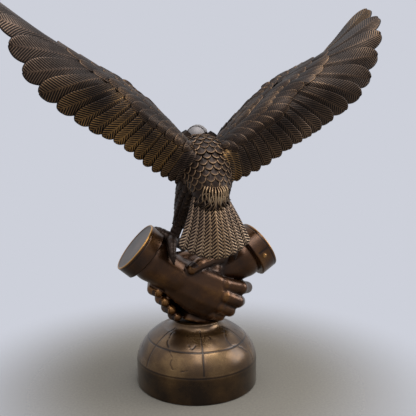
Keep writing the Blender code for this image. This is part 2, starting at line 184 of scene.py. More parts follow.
class Relief:
    """Closed shells gathered into one mesh, with how proud and how golden each point is."""

    def __init__(self):
        self.points = []
        self.quads = []
        self.fans = []
        self.proud = []
        self.gilt = []
        self.count = 0

    def add_tube(self, rings, proud, gilt=0.0):
        """Rings (row, place round the ring, xyz) joined to a tube, its ends closed by fans."""
        rows, size = rings.shape[:2]
        index = np.arange(rows * size).reshape(rows, size)
        turned = np.roll(index, -1, axis=1)
        quads = np.stack([index[:-1], turned[:-1], turned[1:], index[1:]], axis=-1).reshape(-1, 4)
        start, end = rows * size, rows * size + 1
        fans = np.concatenate([
            np.stack([turned[0], index[0], np.full(size, start)], axis=-1),
            np.stack([index[-1], turned[-1], np.full(size, end)], axis=-1)])
        points = np.concatenate([rings.reshape(-1, 3), rings[:1].mean(axis=1), rings[-1:].mean(axis=1)])
        local = points - points.mean(axis=0)
        a, b, c, d = (local[quads[:, k]] for k in range(4))
        volume = np.sum(a * (np.cross(b, c) + np.cross(c, d)))
        if volume < 0:
            quads = quads[:, ::-1]
            fans = fans[:, ::-1]
        self.points.append(points)
        self.quads.append(quads + self.count)
        self.fans.append(fans + self.count)
        for values, sink in ((proud, self.proud), (gilt, self.gilt)):
            full = np.broadcast_to(values, (rows, size))
            sink.append(np.concatenate([full.ravel(), [full[0].mean(), full[-1].mean()]]))
        self.count += len(points)

    def finish(self, name, base_z, material, slot, nodes=()):
        """The shells as one piece in metres, its figure standing on base_z."""
        points = np.concatenate(self.points) * MM + np.array([0.0, 0.0, base_z])
        quads, fans = np.concatenate(self.quads), np.concatenate(self.fans)
        mesh = bpy.data.meshes.new(name)
        mesh.vertices.add(len(points))
        mesh.vertices.foreach_set("co", points.ravel())
        loops = np.concatenate([quads.ravel(), fans.ravel()])
        mesh.loops.add(len(loops))
        mesh.loops.foreach_set("vertex_index", loops)
        starts = np.concatenate([np.arange(len(quads)) * 4, quads.size + np.arange(len(fans)) * 3])
        mesh.polygons.add(len(starts))
        mesh.polygons.foreach_set("loop_start", starts)
        mesh.update(calc_edges=True)
        set_values(mesh, "proud", np.concatenate(self.proud))
        set_values(mesh, "gilt", np.concatenate(self.gilt))
        finish_piece(name, mesh, material, nodes)


def set_values(mesh, name, values):
    """Stores one number for each vertex under a name that the materials read."""
    layer = mesh.attributes.get(name) or mesh.attributes.new(name, "FLOAT", "POINT")
    layer.data.foreach_set("value", np.clip(values, 0.0, 1.0).astype(np.float32))


def add_object(name, data):
    """A new object of the scene."""
    made = bpy.data.objects.new(name, data)
    bpy.context.scene.collection.objects.link(made)
    return made


def finish_piece(name, mesh, material, nodes=()):
    """The mesh as a smooth-shaded piece that stands for the named solids."""
    mesh.polygons.foreach_set("use_smooth", np.ones(len(mesh.polygons), dtype=bool))
    mesh.materials.clear()
    mesh.materials.append(material)
    piece = add_object(name, mesh)
    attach(piece, "root")
    if nodes:
        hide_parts(*nodes)


def add_bone(bm, start, end, start_radius, end_radius, sides=24):
    """A straight tapered cylinder with flat ends between two points."""
    axis = end - start
    made = bmesh.ops.create_cone(bm, cap_ends=True, segments=sides, radius1=start_radius,
                                 radius2=end_radius, depth=axis.length)
    turn = axis.to_track_quat("Z", "Y").to_matrix()
    bmesh.ops.rotate(bm, verts=made["verts"], cent=(0, 0, 0), matrix=turn)
    bmesh.ops.translate(bm, verts=made["verts"], vec=(start + end) / 2)


def mesh_from(bm, name):
    """What a bmesh holds as a mesh. The bmesh is freed."""
    mesh = bpy.data.meshes.new(name)
    bm.to_mesh(mesh)
    bm.free()
    return mesh


def limbs_mesh(limbs):
    """Limbs of round bones: a ball at each (x, y, z, radius) and a tapered bone to the next."""
    bm = bmesh.new()
    for nodes in limbs:
        balls = [(Vector(node[:3]), node[3]) for node in nodes]
        for centre, radius in balls:
            made = bmesh.ops.create_uvsphere(bm, u_segments=24, v_segments=16, radius=radius)
            bmesh.ops.translate(bm, verts=made["verts"], vec=centre)
        for (start, start_radius), (end, end_radius) in zip(balls, balls[1:]):
            add_bone(bm, start, end, start_radius, end_radius)
    return mesh_from(bm, "limbs")


def fused(meshes, voxel, smoothing):
    """One closed skin, in millimetres, round overlapping meshes, remeshed and smoothed."""
    bm = bmesh.new()
    for mesh in meshes:
        bm.from_mesh(mesh)
    joined = mesh_from(bm, "joined")
    holder = add_object("holder", joined)
    skin = holder.modifiers.new("Skin", "REMESH")
    skin.mode = "VOXEL"
    skin.voxel_size = voxel
    soften = holder.modifiers.new("Soften", "SMOOTH")
    soften.factor = 0.5
    soften.iterations = smoothing
    graph = bpy.context.evaluated_depsgraph_get()
    result = bpy.data.meshes.new_from_object(holder.evaluated_get(graph), depsgraph=graph)
    bpy.data.objects.remove(holder)
    for mesh in meshes + [joined]:
        bpy.data.meshes.remove(mesh)
    return result


def stored(items, name, width=1, kind=float):
    """What the points or edges of a mesh hold under a name, a row for each of them."""
    values = np.empty(len(items) * width, dtype=kind)
    items.foreach_get(name, values)
    return values.reshape(-1, width)


def points_of(mesh):
    return stored(mesh.vertices, "co", 3)


def set_points(mesh, points):
    mesh.vertices.foreach_set("co", points.ravel())
    mesh.update()


def mark_ridges(mesh, gain, passes):
    """Stores how proud each point is: about one half, more on ridges and less in hollows.

    The measure is the mean drop from a point to its neighbours along its normal, averaged
    over the neighbours a few times.
    """
    points = points_of(mesh)
    normals = stored(mesh.vertices, "normal", 3)
    near, far = stored(mesh.edges, "vertices", 2, np.int64).T
    here, there = np.concatenate([near, far]), np.concatenate([far, near])
    degree = np.maximum(np.bincount(here, minlength=len(points)), 1)
    step = points[there] - points[here]
    fall = -np.sum(step * normals[here], axis=1) / np.maximum(np.linalg.norm(step, axis=1), 1e-9)
    height = np.bincount(here, weights=fall, minlength=len(points)) / degree
    for _ in range(passes):
        mean = np.bincount(here, weights=height[there], minlength=len(points)) / degree
        height = 0.4 * height + 0.6 * mean
    set_values(mesh, "proud", 0.45 + gain * height)


def placed(mesh, base_z):
    """A figure's mesh, posed in millimetres, in metres on base_z."""
    set_points(mesh, points_of(mesh) * MM + np.array([0.0, 0.0, base_z]))
    return mesh


# Materials

def linear(hex_colour):
    """An sRGB hex colour as the linear colour that a shader takes."""
    channels = [int(hex_colour[k:k + 2], 16) / 255 for k in (1, 3, 5)]
    return (*[c / 12.92 if c <= 0.04045 else ((c + 0.055) / 1.055) ** 2.4 for c in channels], 1.0)


def add_node(tree, kind, settings=None, links=None):
    """Adds a node, sets its inputs or properties by name and links its inputs."""
    node = tree.nodes.new(kind)
    for key, value in (settings or {}).items():
        if isinstance(key, int) or key in node.inputs:
            node.inputs[key].default_value = value
        else:
            setattr(node, key, value)
    for key, source in (links or {}).items():
        tree.links.new(source, node.inputs[key])
    return node


def set_stops(ramp, stops):
    """Colour stops (position, hex colour) on a Color Ramp node."""
    elements = ramp.color_ramp.elements
    while len(elements) < len(stops):
        elements.new(0.5)
    for element, (position, colour) in zip(elements, stops):
        element.position = position
        element.color = linear(colour)


def map_range(tree, value, start, end, low=0.0, high=1.0, way="LINEAR"):
    """A value taken from the range start to end to the range low to high."""
    settings = {"interpolation_type": way, "From Min": start, "From Max": end,
                "To Min": low, "To Max": high}
    return add_node(tree, "ShaderNodeMapRange", settings, {"Value": value}).outputs["Result"]


def worked(tree, operation, a, b):
    """Two values added or multiplied."""
    return add_node(tree, "ShaderNodeMath", {"operation": operation}, {0: a, 1: b}).outputs[0]


def noise(tree, place, scale, detail):
    settings = {"Scale": scale, "Detail": detail}
    return add_node(tree, "ShaderNodeTexNoise", settings, {"Vector": place}).outputs["Fac"]


# The pits of the casting: their size in millimetres and how much they lighten or darken
GRAIN_MM = 1.3
GRAIN_DEPTH = 0.04


def patinated_bronze(name, stops, gold, roughness, coat, cloud_mm, cloud_depth):
    """Cast bronze under a brown chemical patina, waxed.

    The patina is nearly black in the hollows, brown on the plain and rubbed through to lighter
    metal on what stands proud. Some pieces also paint shade and highlights into how proud a point
    is: shade at feather roots and edges, on the rump locks and the globe's skirt, and a highlight on
    the rump locks. Clouds of lighter brown come from the torch that fixed it, and the fine pitting
    is that of an investment casting. Gilt parts turn to gold on their crests, and roughness runs
    from the hollows to the crests. Some of the gold is a painted highlight: on the right wing's
    ends, part of the left wing's middle, and the middle of the tail.
    """
    material = bpy.data.materials.new(name)
    material.use_nodes = True
    tree = material.node_tree
    shader = tree.nodes["Principled BSDF"]
    place = add_node(tree, "ShaderNodeTexCoord").outputs["Object"]
    proud = add_node(tree, "ShaderNodeAttribute", {"attribute_name": "proud"}).outputs["Fac"]
    gilt = add_node(tree, "ShaderNodeAttribute", {"attribute_name": "gilt"}).outputs["Fac"]
    cloud = noise(tree, place, 1000 / cloud_mm, 5.0)
    grain = noise(tree, place, 1000 / GRAIN_MM, 2.0)
    blotched = worked(tree, "ADD", proud, map_range(tree, cloud, 0.3, 0.7, -cloud_depth, cloud_depth))
    worn = worked(tree, "ADD", blotched, map_range(tree, grain, 0.3, 0.7, -GRAIN_DEPTH, GRAIN_DEPTH))
    ramp = add_node(tree, "ShaderNodeValToRGB", None, {"Fac": worn})
    set_stops(ramp, stops)
    gilded = worked(tree, "MULTIPLY", gilt, map_range(tree, worn, 0.42, 0.85))
    colour = add_node(tree, "ShaderNodeMix", {"data_type": "RGBA", 7: linear(gold)},
                      {0: gilded, 6: ramp.outputs["Color"]}).outputs[2]
    tree.links.new(colour, shader.inputs["Base Color"])
    tree.links.new(map_range(tree, worn, 0.15, 0.85, *roughness), shader.inputs["Roughness"])
    bump = add_node(tree, "ShaderNodeBump", {"Strength": 0.5, "Distance": 0.0001}, {"Height": grain})
    tree.links.new(bump.outputs["Normal"], shader.inputs["Normal"])
    shader.inputs["Metallic"].default_value = 0.85
    shader.inputs["Coat Weight"].default_value = coat
    shader.inputs["Coat Roughness"].default_value = 0.25
    return material


# Nearly black on the wings and body, with rubbed edges of pale brass
feather_bronze = patinated_bronze(
    "feather_bronze_dark_patina",
    [(0.0, "#050302"), (0.28, "#170e09"), (0.5, "#33261e"), (0.72, "#76614f"), (0.95, "#c4ad8c")],
    "#c9953f", (0.6, 0.36), 0.1, 34.0, 0.07)
# Smooth skin of the hands: yellow-brown patina with a deep wax shine
hand_bronze = patinated_bronze(
    "hand_bronze_brown_patina",
    [(0.0, "#0b0503"), (0.3, "#241307"), (0.5, "#45290f"), (0.75, "#7d5424"), (1.0, "#b99358")],
    "#b9873c", (0.40, 0.22), 0.35, 42.0, 0.13)
# The globe: the same brown patina, waxed smoothest, with streaks of lighter metal
globe_bronze = patinated_bronze(
    "globe_bronze_brown_patina",
    [(0.0, "#080403"), (0.3, "#26170a"), (0.5, "#4c361c"), (0.75, "#7e623c"), (1.0, "#b89866")],
    "#b9873c", (0.36, 0.22), 0.45, 38.0, 0.17)
# The head is silvered over and left matt
head_silver = patinated_bronze(
    "silvered_bronze_matt",
    [(0.0, "#1f1d1c"), (0.3, "#5c5958"), (0.5, "#827e7e"), (0.75, "#aaa6a7"), (1.0, "#d2d0d0")],
    "#c08f35", (0.75, 0.6), 0.05, 30.0, 0.05)


def finish_plumage(relief, name, material=feather_bronze):
    """A relief on the eagle as a piece of the scene."""
    relief.finish(name, PERCH_Z, material, "eagle_bronze")


# Feathers

# Places of the columns of points on one side of a shaft, from the shaft to the edge
FINE_COLUMNS = (0.0, 0.07, 0.2, 0.42, 0.65, 0.85, 0.94, 1.0)
PLAIN_COLUMNS = (0.0, 0.1, 0.35, 0.65, 0.88, 1.0)
# A look gives, in millimetres, the barbs' pitch and depth, the lift at root and tip, the tilt
# across, the heights of crown, shaft and rim, the shaft's width (quill) and the thickness of the
# middle and the edge. Without a unit it gives the rows of points to each barb, how far a barb
# slants towards the tip for its reach, the length of the round tip for its half width (blunt),
# how dark the whole and how bright the rim is, and the places of the columns over and under
SCALE = {
    "pitch": 2.8, "rows": 2, "slant": 0.8, "blunt": 1.3, "lift": (-1.2, 2.2), "tilt": 0.0,
    "crown": 1.3, "shaft": 0.15, "quill": 0.9, "barb": 0.0, "rim": 0.8, "thick": 1.8,
    "edge": 1.0, "dark": -0.03, "bright": 0.30, "over": PLAIN_COLUMNS, "under": (0.5,)}
TUFT = dict(SCALE, bright=0.16, pitch=3.2, blunt=1.7, rim=0.5, shaft=0.4, lift=(-0.8, 1.6))
HEAD_FEATHER = dict(SCALE, bright=0.15, pitch=1.6, rim=0.25, shaft=0.1, lift=(-0.8, 0.5), crown=0.4,
                    thick=1.0, edge=0.6)
NAIL = dict(SCALE, dark=0.0, bright=0.24, pitch=1.6, rim=0.25, shaft=0.0, lift=(-0.4, 0.3), crown=0.2,
            thick=1.2, edge=0.8, slant=0.0, blunt=0.6)
FLIGHT = dict(SCALE, dark=0.0, bright=0.13, pitch=3.8, rows=4, rim=0.3, shaft=0.8, quill=1.0, barb=0.55,
              lift=(-0.5, 0.9), tilt=3.0, thick=2.4, edge=0.9, slant=1.1, over=FINE_COLUMNS, under=(0.4,))
COVERT = dict(FLIGHT, dark=0.05, bright=0.17, pitch=3.0, rows=3, rim=0.4, shaft=0.5, quill=0.8,
              barb=0.34, tilt=2.2, crown=1.8, thick=2.2, blunt=2.3, under=(0.5,))
UNDER_COVERT = dict(COVERT, dark=0.0, bright=0.3, pitch=4.4, rows=2, rim=0.5, barb=0.0,
                    lift=(0.0, 1.8), over=PLAIN_COLUMNS)
TAIL_VANE = dict(FLIGHT, dark=-0.04, bright=0.18, pitch=4.6, rows=5, shaft=1.8, quill=1.5, barb=0.75,
                 crown=1.0, thick=3.2, edge=1.2, slant=0.95, blunt=0.95, under=(0.7, 0.1))
# A feather's shades: its vane, what shaft and barbs add, the painted shadow that darkens its lip,
# its underside, and the painted shade that darkens the root, in the shadow of the feather above
VANE_SHADE = 0.39
SHAFT_SHADE = 0.36
BARB_SHADE = 0.46
LIP_PAINTED_SHADOW = 0.33
UNDER_SHADE = 0.34
ROOT_PAINTED_SHADE = 0.13
# Heights in millimetres of the barb and the shaft that are shaded in full
FULL_BARB = 0.45
FULL_SHAFT = 0.8
# How far the edge rolls down, in millimetres
LIP_DROP = 0.7


def barb_reach(base, length, half, look):
    """How far out the barbs run before they meet the feather's rounded tip.

    A barb leaves the shaft at base and slants towards the tip by slant times its reach. The
    tip is a half ellipse, blunt times half long. Halving an interval finds where they meet.
    """
    low, high = np.zeros_like(base), np.full_like(base, half)
    for _ in range(18):
        reach = (low + high) / 2
        edge = length - look["blunt"] * half * (1 - np.sqrt(1 - (reach / half) ** 2))
        beyond = base + look["slant"] * reach > edge
        high = np.where(beyond, reach, high)
        low = np.where(beyond, low, reach)
    return low


def feather(relief, ground, root, tip, width, look, gilt=0.0):
    """Lays a feather on a ground from root to tip, both (u, v), width wide, its rim rubbed bright.

    Each row of points follows a barb, so the barbs' cosine wave runs from row to row. The height
    over the ground is a straight rise from root to tip, a tilt across, a crown 1 - t^2, a bell
    for the shaft, the barbs' wave and a bell near the edge for the rim.
    """
    root, tip = np.array(root, dtype=float), np.array(tip, dtype=float)
    line = root + (tip - root) * np.linspace(0.0, 1.0, 9)[:, None]
    length = arc_lengths(ground.place(line[:, 0], line[:, 1]))[-1]
    broadest = root + (tip - root) * 0.7
    across_step = ground.step_across(broadest[0], broadest[1], tip - root)
    half = width / 2
    base = np.arange(0.0, length, look["pitch"] / look["rows"])
    base = np.append(base, length - 0.1)[:, None]
    reach = barb_reach(base, length, half, look)
    over = np.array([-t for t in look["over"][:0:-1]] + list(look["over"]))
    under = np.array(list(look["under"]) + [-t for t in look["under"][::-1]])
    t = np.concatenate([over, under])[None, :]
    top = (np.arange(t.shape[1]) < len(over))[None, :]
    across = t * reach
    along = base + look["slant"] * np.abs(across)
    s = along / length
    edge = np.minimum(reach * (1 - np.abs(t)), (length - along) + 0.3)
    full = reach / half
    low, high = look["lift"]
    level = low + (high - low) * s + look["tilt"] * (t + 1) / 2 + look["crown"] * (1 - t**2) * full
    shaft = hump(across, look["quill"]) * (1 - 0.45 * s) * rise(1 - s, 0.0, 0.06)
    vane = rise(np.abs(across), 0.4, 1.2) * rise(edge, 0.2, 1.4)
    wave = 0.5 + 0.5 * np.cos(2 * np.pi * base / look["pitch"])
    rim = hump(edge - 0.7, 0.7) * rise(base, 0.0, 4.0)
    lip = 1 - rise(edge, 0.0, 0.6)
    above = look["shaft"] * shaft + look["barb"] * wave * vane + look["rim"] * rim - LIP_DROP * lip
    thickness = look["edge"] + (look["thick"] - look["edge"]) * (1 - t**2) * full
    below = thickness + 0.35 * look["barb"] * wave * vane + 0.5 * look["shaft"] * shaft
    height = level + np.where(top, above, -below)
    u = root[0] + (tip[0] - root[0]) * s + across_step[0] * across
    v = root[1] + (tip[1] - root[1]) * s + across_step[1] * across
    strength = min(1.5, look["barb"] / FULL_BARB)
    ridge = min(1.25, look["shaft"] / FULL_SHAFT) * shaft
    # Painted shade: the root is darkened where it lies in the shadow of the feather above
    tone_and_root_shade = look["dark"] + ROOT_PAINTED_SHADE * (1 - rise(s, 0.45, 0.95))
    # Painted shadow: the lip darkens each feather's edge, in the gaps between feathers
    shade = (VANE_SHADE - tone_and_root_shade + SHAFT_SHADE * ridge * rise(s, 0.0, 0.15) + look["bright"] * rim
             + strength * BARB_SHADE * (wave - 0.42) * vane - LIP_PAINTED_SHADOW * lip)
    shade = np.where(top, shade, UNDER_SHADE + 0.5 * strength * (wave - 0.5) * vane + 0.25 * shaft)
    relief.add_tube(ground.raised(u, v, height), shade, gilt)


def limb_ground(nodes):
    """Skin of a limb through (x, y, z, radius) nodes: u turns round it, v counts its nodes."""
    def place(u, v):
        here = curve_through(nodes, v)
        ahead = curve_through(nodes, v + 0.04)
        along = unit(ahead[..., :3] - here[..., :3])
        side = unit(np.array([1.0, 0.0, 0.0]) - along * along[..., :1])
        out = np.cross(side, along)
        return here[..., :3] + here[..., 3:] * around(out, side, u)
    middle = len(nodes) // 2
    return Ground(place, (0.0, middle), nodes[middle][:3])


# Length of the small feathers of body, legs and arms, in millimetres and in a limb's nodes
SMALL_LENGTH = 15.0
LONGEST_STEP = 0.8
# How far apart the middles of small feathers are, as a share of their width
ROW_SPACING = 0.86
# How far to either side a row reaches that goes all round a limb, in radians
ALL_ROUND = 3.1


def scale_rows(relief, nodes, ends, spacing, widths, look, length=SMALL_LENGTH, spread=ALL_ROUND,
               middle=0.0, gilt=0.0):
    """Rows of short feathers on a limb, each row shifted by half a feather.

    The rows' tips lie spacing apart from one end to the other, both counted in nodes, and the
    feathers point that way. A row reaches as far as spread to either side of the middle.
    """
    ground = limb_ground(nodes)
    stations = ground.even_stations(middle, *ends, spacing)
    back = math.copysign(1.0, stations[0] - stations[-1])
    for number, v in enumerate(stations):
        wide = from_table(widths, v)
        step = ROW_SPACING * wide / float(curve_through(nodes, np.array(float(v)))[3])
        count = int(spread / step + 0.5)
        for k in range(-count, count + 1):
            u = (k + 0.5 * (number % 2)) * step
            if abs(u) <= spread:
                tip = (middle + u, v)
                root = ground.step_along(*tip, (0.0, back)) * length
                root = np.clip(root, -LONGEST_STEP, LONGEST_STEP)
                feather(relief, ground, tip + root, tip, wide, look, gilt)


# Right wing, in millimetres above the perch. By feather: its number, where it leaves the arm,
# where it ends and the arm's radius there
WING_KNOTS = [-2.0, 0.0, 3.0, 6.0, 9.0, 12.0, 15.0, 17.0]
WING_ROOTS = [(10, -24, 130), (28, -24, 149), (54, -18, 178), (75, -16, 198), (92, -15, 211),
              (112, -14, 227), (147, -11, 248), (172, -6, 262)]
WING_TIPS = [(24, -31, 84), (41, -33, 94), (79, -48, 114), (119, -67, 145), (161, -71, 171),
             (216, -84, 222), (252, -60, 308), (272, 22, 349)]
ARM_RADII = (14, 12, 9.5, 8, 7.2, 6.6, 6, 5)
FIRST_FEATHER = -2
WING_FEATHERS = 17
HAND_FEATHER = 11
# How far the wing bows back and up, up to the first feather of the hand and at the tip
WING_BULGE_BACK = (34.0, 7.0)
WING_BULGE_UP = (13.0, -7.0)
# How much higher the left wing's tips are, how far its outer ones shift, and from which feather on
LEFT_WING_RISE = 3.0
LEFT_WING_SPREAD = (9.0, 0.0, -5.0)
SPREAD_FEATHERS = (7.0, 13.0)
# Thickness of the wing's core under the feathers and along the arm, and its reach across the wing
WING_THICKNESS = 4.2
WING_ARM_THICKNESS = 11.0
CORE_REACH = (-0.06, 0.54)
# A place on the wing to test its sides at, and points far behind and in front of the statue
MID_WING = (8.0, 0.4)
BEHIND = (0.0, -1000.0, 350.0)
BEFORE = (0.0, 1000.0, -350.0)


def right_wing_surface(u, v):
    """Mid surface of the right wing: u counts feathers outward, v runs from arm to tip.

    A straight line joins arm and tip, bowed back and up by a sine of v. Beyond the first and
    last feather the knots run straight on.
    """
    knots = np.interp(u, WING_KNOTS, np.arange(len(WING_KNOTS)))
    knots = knots + np.maximum(u - WING_KNOTS[-1], 0.0) / 2 - np.maximum(WING_KNOTS[0] - u, 0.0) / 2
    root = curve_through(WING_ROOTS, knots)
    tip = curve_through(WING_TIPS, knots)
    belly = np.sin(np.pi * np.clip(v, 0, 1) ** 0.75)
    hand = [HAND_FEATHER, WING_FEATHERS]
    back = -np.interp(u, hand, WING_BULGE_BACK) * belly
    up = np.interp(u, hand, WING_BULGE_UP) * belly
    return root + (tip - root) * v[..., None] + np.stack([0 * u, back, up], axis=-1)


def left_wing_surface(u, v):
    """The right wing's mirror image, its tips raised and its outer feathers spread wider."""
    spread = np.interp(u, SPREAD_FEATHERS, [0.0, 1.0])[..., None] * np.array(LEFT_WING_SPREAD)
    points = right_wing_surface(u, v) + v[..., None] * (spread + np.array([0.0, 0.0, LEFT_WING_RISE]))
    return points * np.array([-1.0, 1.0, 1.0])


def arm_limb(side):
    return [(side * x, y + 3, z - 4, r) for (x, y, z), r in zip(WING_ROOTS, ARM_RADII)]


def core_depth(u, v):
    """Thickness of the wing's core, thick along the arm and thin towards feathers and wing tip."""
    fade = np.interp(u, [WING_FEATHERS - 4.0, WING_FEATHERS], [1.0, 0.35])
    return (WING_THICKNESS + (WING_ARM_THICKNESS - WING_THICKNESS) * (1 - np.clip(v, 0, 1)) ** 3) * fade


def wing_core(relief, ground):
    """The skin under the feathers: a loft of chords from the arm to half a feather."""
    u = np.linspace(FIRST_FEATHER, WING_FEATHERS - 0.1, 120)[:, None]
    over = np.linspace(*CORE_REACH, 14)
    v = np.concatenate([over, over[::-1]])[None, :] + 0 * u
    u = u + 0 * v
    top = (np.arange(v.shape[1]) < len(over))[None, :]
    height = np.where(top, 1.4 - 2.0 * rise(v, 0.1, 0.3), -core_depth(u, v))
    relief.add_tube(ground.raised(u, v, height), 0.36)


# Covert rows: where their tips end by feather number, the first one, their width and length, and
# how many degrees their shafts rise above the greater coverts'
COVERT_ROWS = (
    (([-2, 1, 6, 9, 11, 13.7, 16], [0.50, 0.46, 0.49, 0.38, 0.33, 0.37, 0.32]), 0.5, 19.0, 54.0, 0.0),
    (([-2, 3, 6, 9, 12, 14, 16], [0.31, 0.27, 0.27, 0.17, 0.16, 0.18, 0.12]), -0.2, 18.0, 46.0, 12.0),
    (([-2, 3, 6, 9, 12, 14, 16], [0.13, 0.10, 0.10, 0.03, 0.02, 0.03, 0.0]), -1.3, 16.0, 38.0, 22.0),
    (([-2, 0, 3, 6, 9, 12, 16], [0.08, 0.06, 0.05, 0.04, 0.01, 0.01, 0.0]), -0.8, 15.0, 32.0, 30.0),
    (([-2, 0, 3, 6, 9, 12, 16], [0.02, 0.01, 0.0, -0.01, -0.03, -0.04, -0.03]), -0.6, 11.0, 24.0, 40.0),
)
COVERT_SPACING = 1.15
# The share of full size that the coverts have, by feather number: smaller near the shoulder
COVERT_SMALL = ([-1.5, 3.0], [0.55, 1.0])
# The most degrees by which a covert rises over the arm's own slope
ALONG_ARM = 2.0
# Degrees by which the greater coverts' shafts rise outward, by feather number
COVERT_RISE = ([-2, 1, 3, 6, 10, 14, 16], [-55, -30, -8, 8, 14, 18, 36])
# How much the coverts vary in reach across the wing, in degrees and in length
REACH_VARIES = 0.012
ANGLE_VARIES = 3
LENGTH_VARIES = 0.05


def covert_row(relief, ground, side, row, look, rng, gilt=0.0):
    """One row of coverts from the shoulder out, each turned towards the wing tip."""
    reaches, first, width, length, turn = row
    for mid in np.arange(first, WING_FEATHERS - 0.9, COVERT_SPACING):
        reach = from_table(reaches, mid) + REACH_VARIES * rng.standard_normal()
        arm = ground.tangents_at(mid, 0.0)[0]
        steepest = math.atan2(arm[2], abs(arm[0])) + math.radians(ALONG_ARM)
        angle = from_table(COVERT_RISE, mid) + turn + ANGLE_VARIES * rng.standard_normal()
        angle = min(math.radians(angle), steepest)
        heading = ground.heading_to(mid, reach, (side * math.cos(angle), 0.0, math.sin(angle)))
        small = from_table(COVERT_SMALL, mid)
        back = ground.step_along(mid, reach, heading) * length * small
        back = back * (1 + LENGTH_VARIES * rng.standard_normal())
        root = (max(mid - back[0], FIRST_FEATHER + 0.2), reach - back[1])
        feather(relief, ground, root, (mid, reach), width * small, look, gilt)


# Where the flight feathers' roots lie across the wing, and their width for their spacing
FLIGHT_ROOT = 0.22
FLIGHT_OVERLAP = 1.38
# By feather number: how many feathers inward of its tip a root lies, the tip's length and the dark
FLIGHT_LEAN = ([-1.5, 1.0, 5.0, 9.0, 13.0], [0.3, 1.7, 1.9, 1.3, 0.0])
FLIGHT_BLUNT = ([8.0, 13.0], [1.3, 2.3])
FLIGHT_DARK = ([4.0, 11.0], [0.0, 0.07])
# How golden the left wing's middle feathers are, rubbed gold with a painted highlight, the right
# wing's, and its first and last ones, whose gold is a painted highlight
LEFT_GOLD_AND_HIGHLIGHT = 0.75
RIGHT_GOLD = 0.12
RIGHT_END_HIGHLIGHT = 0.7
# Lift at root and tip of the lowest row of coverts, and how much more each row above it has
COVERT_LIFT = (0.6, 3.4)
ROW_LIFT = (0.5, 0.4)


def build_wing(name, place, side):
    """Core and flight feathers, five rows of coverts, and plainer coverts and tufts below."""
    ground = Ground(place, MID_WING, BEFORE)
    relief = Relief()
    wing_core(relief, ground)
    for number in range(FIRST_FEATHER, WING_FEATHERS):
        mid = number + 0.5
        along_u, along_v = ground.tangents_at(mid, 0.85)
        lean = min(from_table(FLIGHT_LEAN, mid), mid - FIRST_FEATHER)
        course = unit(lean * along_u + (1 - FLIGHT_ROOT) * along_v)
        width = FLIGHT_OVERLAP * float(np.linalg.norm(np.cross(along_u, course)))
        look = dict(FLIGHT, blunt=from_table(FLIGHT_BLUNT, mid), dark=from_table(FLIGHT_DARK, mid))
        # The gold of the left wing's middle is part rubbed metal and part painted highlight; that of the
        # right wing's first and last feathers is a painted highlight
        if side < 0:
            golden = LEFT_GOLD_AND_HIGHLIGHT * float(rise(mid, 0.5, 2.5) * (1 - rise(mid, 9.0, 13.0)))
        else:
            golden = RIGHT_END_HIGHLIGHT if mid < 0.6 or mid > 16 else RIGHT_GOLD
        feather(relief, ground, (mid - lean, FLIGHT_ROOT), (mid, 1.0), width, look, golden)
    finish_plumage(relief, name + "_flight_feathers")
    coverts = Relief()
    rng = np.random.default_rng(11)
    for number, row in enumerate(COVERT_ROWS):
        look = dict(COVERT, lift=tuple(low + more * number for low, more in zip(COVERT_LIFT, ROW_LIFT)))
        covert_row(coverts, ground, side, row, look, rng, 0.2)
    finish_plumage(coverts, name + "_coverts")
    belly = Ground(place, MID_WING, BEHIND)
    underside = Ground(lambda u, v: belly.raised(u, v, core_depth(u, v)), MID_WING, BEHIND)
    below = Relief()
    for row in COVERT_ROWS[:3]:
        covert_row(below, underside, side, row, UNDER_COVERT, rng)
    scale_rows(below, arm_limb(side), (1.6, 6.9), 9.0, ([0], [10.0]), TUFT, spread=1.5, middle=math.pi)
    finish_plumage(below, name + "_under_coverts")


TAIL_FEATHERS = 9
# The tail's rump end and its tips: half the width, y and z of the middle, and how far the edges
# lie forward and up from there
TAIL_ROOT = (22.0, -70.0, 80.0, 12.0, 0.0)
TAIL_TIP = (49.0, -91.0, 1.0, 10.0, 18.0)
TAIL_BOW = 5.0
TAIL_VANE_WIDTH = 14.0
# How far a vane's outer edge rises over the next one out
TAIL_TILT = 2.0


def tail_line(u, half_width, y, z, forward, up):
    """A line across the tail whose edges curve forward and up."""
    return np.stack([half_width * u, y + forward * u**2, z + up * u**2], axis=-1)


def tail_surface(u, v):
    """Mid surface of the tail fan: u from -1 to 1 across, v from the rump to the tips."""
    root, tip = tail_line(u, *TAIL_ROOT), tail_line(u, *TAIL_TIP)
    belly = np.stack([0 * u, -TAIL_BOW * np.sin(np.pi * v), 0 * u], axis=-1)
    return root + (tip - root) * v[..., None] + belly


def build_tail():
    """Nine vanes. The middle one lies on top and each other one under its inner neighbour."""
    relief = Relief()
    ground = Ground(tail_surface, (0.0, 0.5), (0.0, 1000.0, 0.0))
    for number in range(TAIL_FEATHERS):
        mid = (2 * number + 1) / TAIL_FEATHERS - 1.0
        outward = np.sign(round(mid, 6))
        low = 0.8 * (1 - abs(mid)) + (TAIL_TILT if outward <= 0 else 0.0)
        look = dict(TAIL_VANE, lift=(low, low + 0.4), tilt=outward * TAIL_TILT)
        # The gold towards the middle of the tail is a painted sheen
        feather(relief, ground, (mid, -0.1), (mid, 1.0), TAIL_VANE_WIDTH, look, 0.16 * hump(mid, 0.4))
    finish_plumage(relief, "tail_feathers")


# Eagle's body, in millimetres above the perch: x, y, z and radius
TORSO = [(0, -64, 78, 21), (0, -58, 94, 27), (0, -43, 110, 34), (0, -30, 120, 37),
         (0, -10, 126, 33), (0, 8, 130, 24), (5, 22, 139, 18.5)]
RUMP = [(0, -64, 78, 21), (0, -70, 68, 12)]
NAPE = (8, 28, 143, 15.0)
